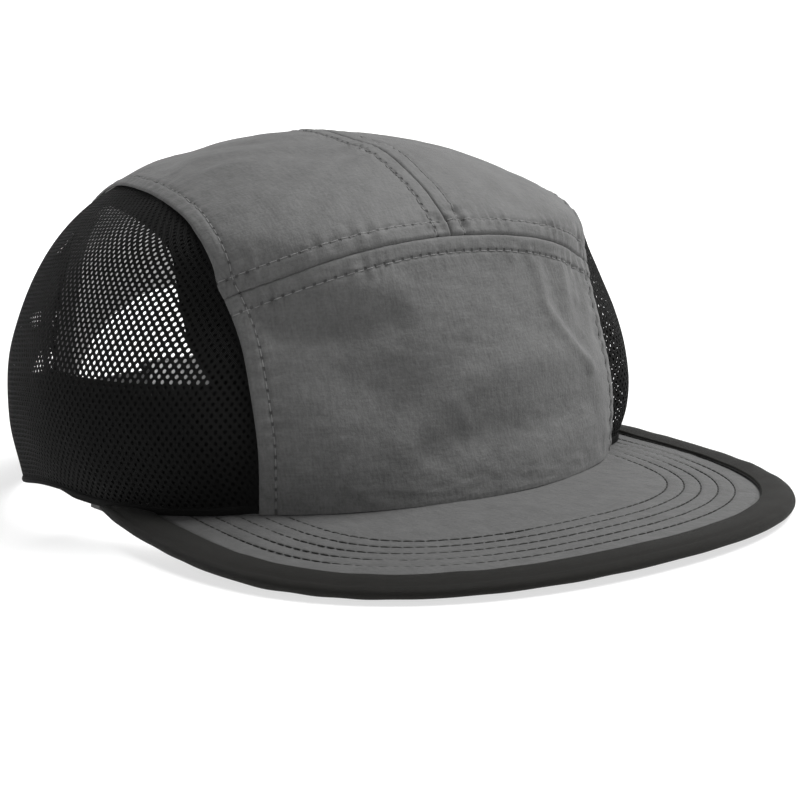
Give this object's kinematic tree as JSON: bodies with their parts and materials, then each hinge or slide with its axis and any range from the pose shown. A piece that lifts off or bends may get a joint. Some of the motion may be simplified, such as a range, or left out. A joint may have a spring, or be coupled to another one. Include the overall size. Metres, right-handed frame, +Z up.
{
  "type": "five-panel technical cap",
  "caption": "Five-panel sun cap with a soft nylon front and top, open net side panels, a flat stitched and bound brim, an inner sweatband and a rear strap with a plain buckle.",
  "frame": {"origin": "on the ground under the middle of the cap's box", "axes": "-Y the way the brim points, +X the wearer's left, +Z up"},
  "size_m": [0.1874, 0.2558, 0.1045],
  "materials": {
    "grey_nylon": "fine plain-woven nylon, matt",
    "black_net": "knitted polyester net with oval holes",
    "black_cotton": "plain cotton twill, matt",
    "charcoal_binding": "folded ribbed binding, matt",
    "black_webbing": "flat woven webbing",
    "black_plastic": "moulded, fine satin grain"
  },
  "bodies": {
    "root": {"front_panel": "grey_nylon", "top_panel_left": "grey_nylon", "top_panel_right": "grey_nylon", "side_panel_left": "black_net", "side_panel_right": "black_net", "seam_tape_left": "black_cotton", "seam_tape_right": "black_cotton", "sweatband": "black_cotton", "brim": "grey_nylon", "brim_binding": "charcoal_binding", "adjuster_strap": "black_webbing", "strap_buckle": "black_plastic"}
  },
  "joints": []
}
